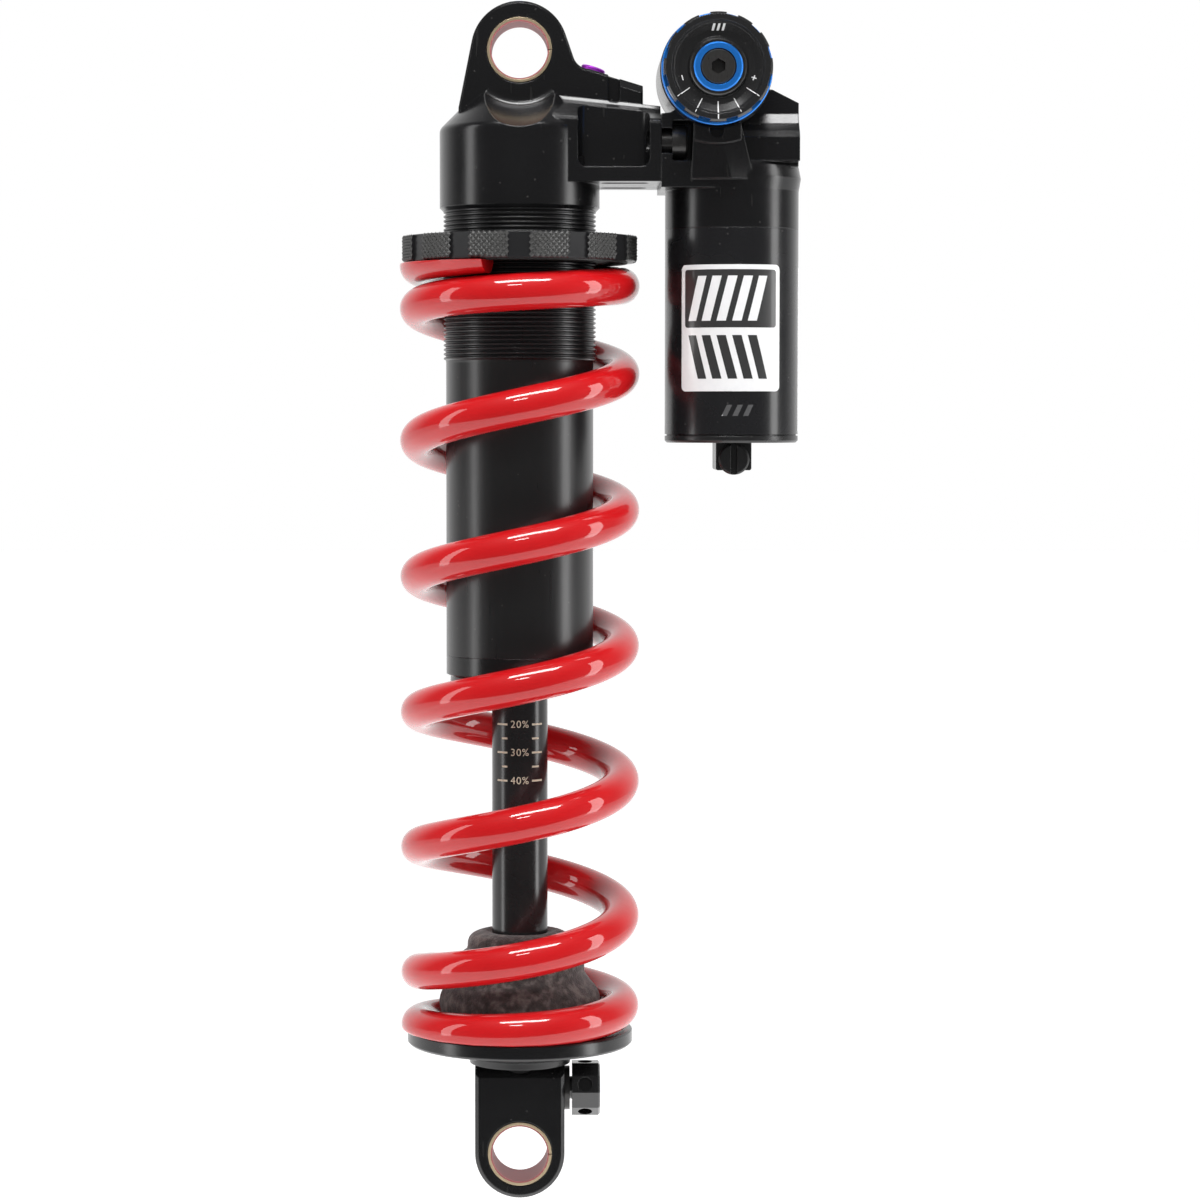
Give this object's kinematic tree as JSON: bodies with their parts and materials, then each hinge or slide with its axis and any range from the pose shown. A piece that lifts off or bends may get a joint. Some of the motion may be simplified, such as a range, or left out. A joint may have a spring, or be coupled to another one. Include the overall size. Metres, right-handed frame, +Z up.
{
  "type": "rear shock",
  "caption": "Coil-over rear shock for a bicycle, with a side reservoir, turning adjuster dials, a threaded preload collar and a bushed eye at each end.",
  "frame": {"origin": "centre of the upper eye", "axes": "+Z up along the damper shaft, the eye bores along Y, the reservoir towards +X, the compression dial faces -Y"},
  "size_m": [0.0908, 0.0544, 0.2711],
  "materials": {
    "head_black": "satin black anodised",
    "tube_black": "satin black anodised",
    "collar_black": "black anodised, knurled",
    "reservoir_black": "gloss black anodised",
    "shaft_black": "polished black hard coating",
    "spring_red": "gloss powder coat over steel",
    "bushing_bronze": "sintered bronze",
    "bushing_liner": "filled fluoropolymer",
    "blue_anodised": "satin blue anodised",
    "purple_anodised": "satin purple anodised",
    "dial_black": "satin black anodised with white marks",
    "bump_foam": "microcellular urethane foam",
    "seal_rubber": "matt",
    "wiper_rubber": "matt",
    "plain_alloy": "machined",
    "plain_steel": "machined",
    "bolt_black": "black oxide",
    "slip_nylon": "moulded",
    "glide_band": "filled fluoropolymer"
  },
  "bodies": {
    "damper_body": {"damper_head": "head_black", "upper_bushing": "bushing_bronze", "upper_bushing_liner": "bushing_liner", "damper_tube": "tube_black", "bottom_out_cup": "plain_alloy", "seal_head": "tube_black", "shaft_guide_bush": "bushing_bronze", "shaft_seal": "seal_rubber", "seal_head_o_ring": "seal_rubber", "shaft_wiper": "wiper_rubber", "reservoir_manifold": "head_black", "manifold_face_seal": "seal_rubber", "reservoir_bolts": "bolt_black", "reservoir_can": "reservoir_black", "reservoir_cap": "reservoir_black", "reservoir_cap_o_ring": "seal_rubber", "gas_valve_plug": "bolt_black", "gas_valve_core": "plain_steel", "compression_cartridge": "plain_alloy", "base_valve": "plain_alloy", "base_valve_shims": "plain_steel"},
    "shaft_assembly": {"damper_shaft": "shaft_black", "top_out_bumper": "seal_rubber", "rebound_shims": "plain_steel", "main_piston": "plain_alloy", "piston_glide_band": "glide_band", "compression_shims": "plain_steel", "bottom_out_piston": "plain_alloy", "spring_retainer": "collar_black", "bump_stop": "bump_foam", "lower_eyelet": "head_black", "lower_bushing": "bushing_bronze", "lower_bushing_liner": "bushing_liner", "rebound_gland": "bolt_black", "coil_spring": "spring_red"},
    "spring_seat": {"spring_slip_washer": "slip_nylon"},
    "preload_collar": {"preload_collar": "collar_black"},
    "low_speed_dial": {"low_speed_dial": "dial_black", "low_speed_ring": "blue_anodised"},
    "high_speed_adjuster": {"high_speed_screw": "dial_black", "high_speed_ring": "blue_anodised"},
    "bottom_out_dial": {"bottom_out_dial": "purple_anodised"},
    "rebound_dial": {"rebound_dial": "dial_black"},
    "rebound_rod": {"rebound_rod": "plain_alloy"},
    "floating_piston": {"floating_piston": "plain_alloy", "floating_piston_seal": "seal_rubber"}
  },
  "joints": [
    {"name": "stroke", "type": "slide", "parent": "damper_body", "child": "shaft_assembly", "axis": [0, 0, 1], "range_m": [0, 0.065], "stiffness_N_per_m": 92000, "springref_m": -0.001, "deforming": ["coil_spring", "bump_stop"]},
    {"name": "floating_piston_travel", "type": "slide", "parent": "damper_body", "child": "floating_piston", "axis": [0, 0, -1], "range_m": [0, 0.0146]},
    {"name": "preload_travel", "type": "slide", "parent": "damper_body", "child": "spring_seat", "axis": [0, 0, 1], "range_m": [0, 0.0041]},
    {"name": "preload_turn", "type": "hinge", "parent": "spring_seat", "child": "preload_collar", "pos_m": [0, 0, -0.0444], "axis": [0, 0, 1], "range_deg": [0, 1440]},
    {"name": "low_speed_turn", "type": "hinge", "parent": "damper_body", "child": "low_speed_dial", "pos_m": [0.0437, -0.021, -0.0055], "axis": [0, -1, 0], "range_deg": [-54, 54]},
    {"name": "high_speed_turn", "type": "hinge", "parent": "damper_body", "child": "high_speed_adjuster", "pos_m": [0.0437, -0.021, -0.0055], "axis": [0, -1, 0], "range_deg": [-72, 72]},
    {"name": "bottom_out_turn", "type": "hinge", "parent": "damper_body", "child": "bottom_out_dial", "pos_m": [0.0164, 0, -0.0045], "axis": [0.2907, 0, 0.9568], "range_deg": [-72, 72]},
    {"name": "rebound_turn", "type": "hinge", "parent": "shaft_assembly", "child": "rebound_dial", "pos_m": [0.015, 0, -0.2359], "axis": [1, 0, 0], "range_deg": [-270, 270]},
    {"name": "rebound_rod_travel", "type": "slide", "parent": "shaft_assembly", "child": "rebound_rod", "axis": [0, 0, 1], "range_m": [-0.00118, 0.00118]}
  ],
  "couplings": [
    {"joint": "floating_piston_travel", "follows": "stroke", "ratio": 0.2212},
    {"joint": "preload_travel", "follows": "preload_turn", "m_per_rad": 0.00015915},
    {"joint": "rebound_turn", "follows": "rebound_rod_travel", "rad_per_m": 4000}
  ]
}
